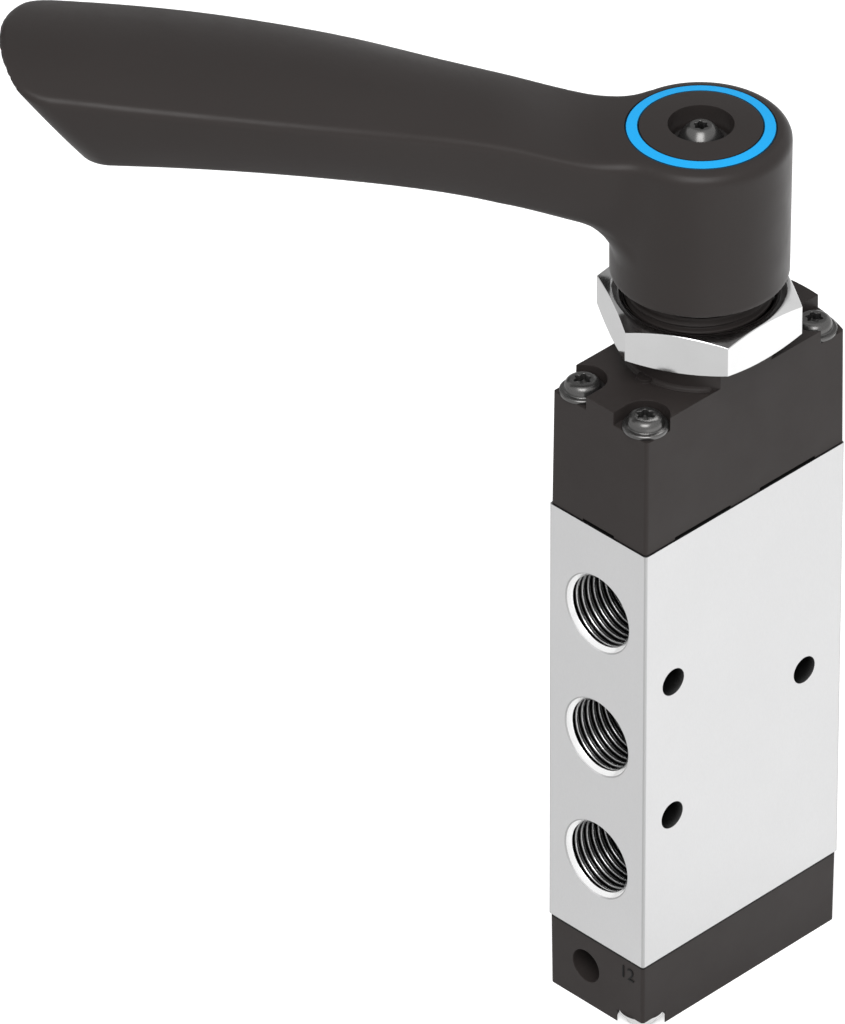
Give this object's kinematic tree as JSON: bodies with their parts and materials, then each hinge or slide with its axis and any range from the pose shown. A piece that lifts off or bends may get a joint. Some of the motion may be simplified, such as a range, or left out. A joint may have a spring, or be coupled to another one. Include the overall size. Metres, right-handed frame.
{
  "type": "hand lever air valve",
  "caption": "Slim hand-turned spool valve: aluminium body with screwed air ports, dark end caps, a panel nut on a collar and a curved turning lever with a blue ring.",
  "frame": {"origin": "middle of the lower cap's flat underside, on the spool's axis", "axes": "+Z along the spool and spindle towards the lever; -Y the narrow face with three ports; +X one wide face"},
  "size_m": [0.0685, 0.0754, 0.1251],
  "materials": {
    "body_aluminium": "satin anodised extrusion",
    "cap_plastic": "fine matt moulding, dark grey",
    "lever_plastic": "satin moulding, dark grey",
    "blue_plastic": "smooth light blue",
    "plated_steel": "bright nickel plated",
    "black_steel": "black oxide, slightly oiled",
    "bright_steel": "ground",
    "spool_aluminium": "ground and hard anodised",
    "seal_rubber": "smooth nitrile",
    "bearing_plastic": "natural acetal"
  },
  "bodies": {
    "housing": {"valve_body": "body_aluminium", "top_cap": "cap_plastic", "bottom_cap": "cap_plastic", "top_gasket": "seal_rubber", "bottom_gasket": "seal_rubber", "panel_nut": "plated_steel", "top_cap_screws": "black_steel", "bottom_cap_screws": "plated_steel", "end_bush": "bearing_plastic", "buffer_disc": "seal_rubber", "guide_bush": "bearing_plastic", "thrust_washer": "bright_steel", "spool_seal_1": "seal_rubber", "spool_seal_2": "seal_rubber", "spool_seal_3": "seal_rubber", "spool_seal_4": "seal_rubber", "spool_seal_5": "seal_rubber", "spool_seal_6": "seal_rubber", "spacer_1": "bearing_plastic", "spacer_2": "bearing_plastic", "spacer_3": "bearing_plastic", "spacer_4": "bearing_plastic", "spacer_5": "bearing_plastic"},
    "lever_group": {"lever": "lever_plastic", "position_ring": "blue_plastic", "hub_screw": "black_steel", "hub_washer": "plated_steel", "cam_spindle": "bright_steel", "shaft_seal": "seal_rubber", "detent_ball_left": "bright_steel", "detent_ball_right": "bright_steel", "detent_spring": "bright_steel"},
    "spool_group": {"spool": "spool_aluminium", "cam_pin": "bright_steel"}
  },
  "joints": [
    {"name": "lever_turn", "type": "hinge", "parent": "housing", "child": "lever_group", "pos_m": [0, 0, 0.1], "axis": [0, 0, 1], "range_deg": [0, 90]},
    {"name": "spool_lift", "type": "slide", "parent": "housing", "child": "spool_group", "axis": [0, 0, 1], "range_m": [0, 0.00425]}
  ],
  "couplings": [
    {"joint": "lever_turn", "follows": "spool_lift", "rad_per_m": 369.59}
  ]
}
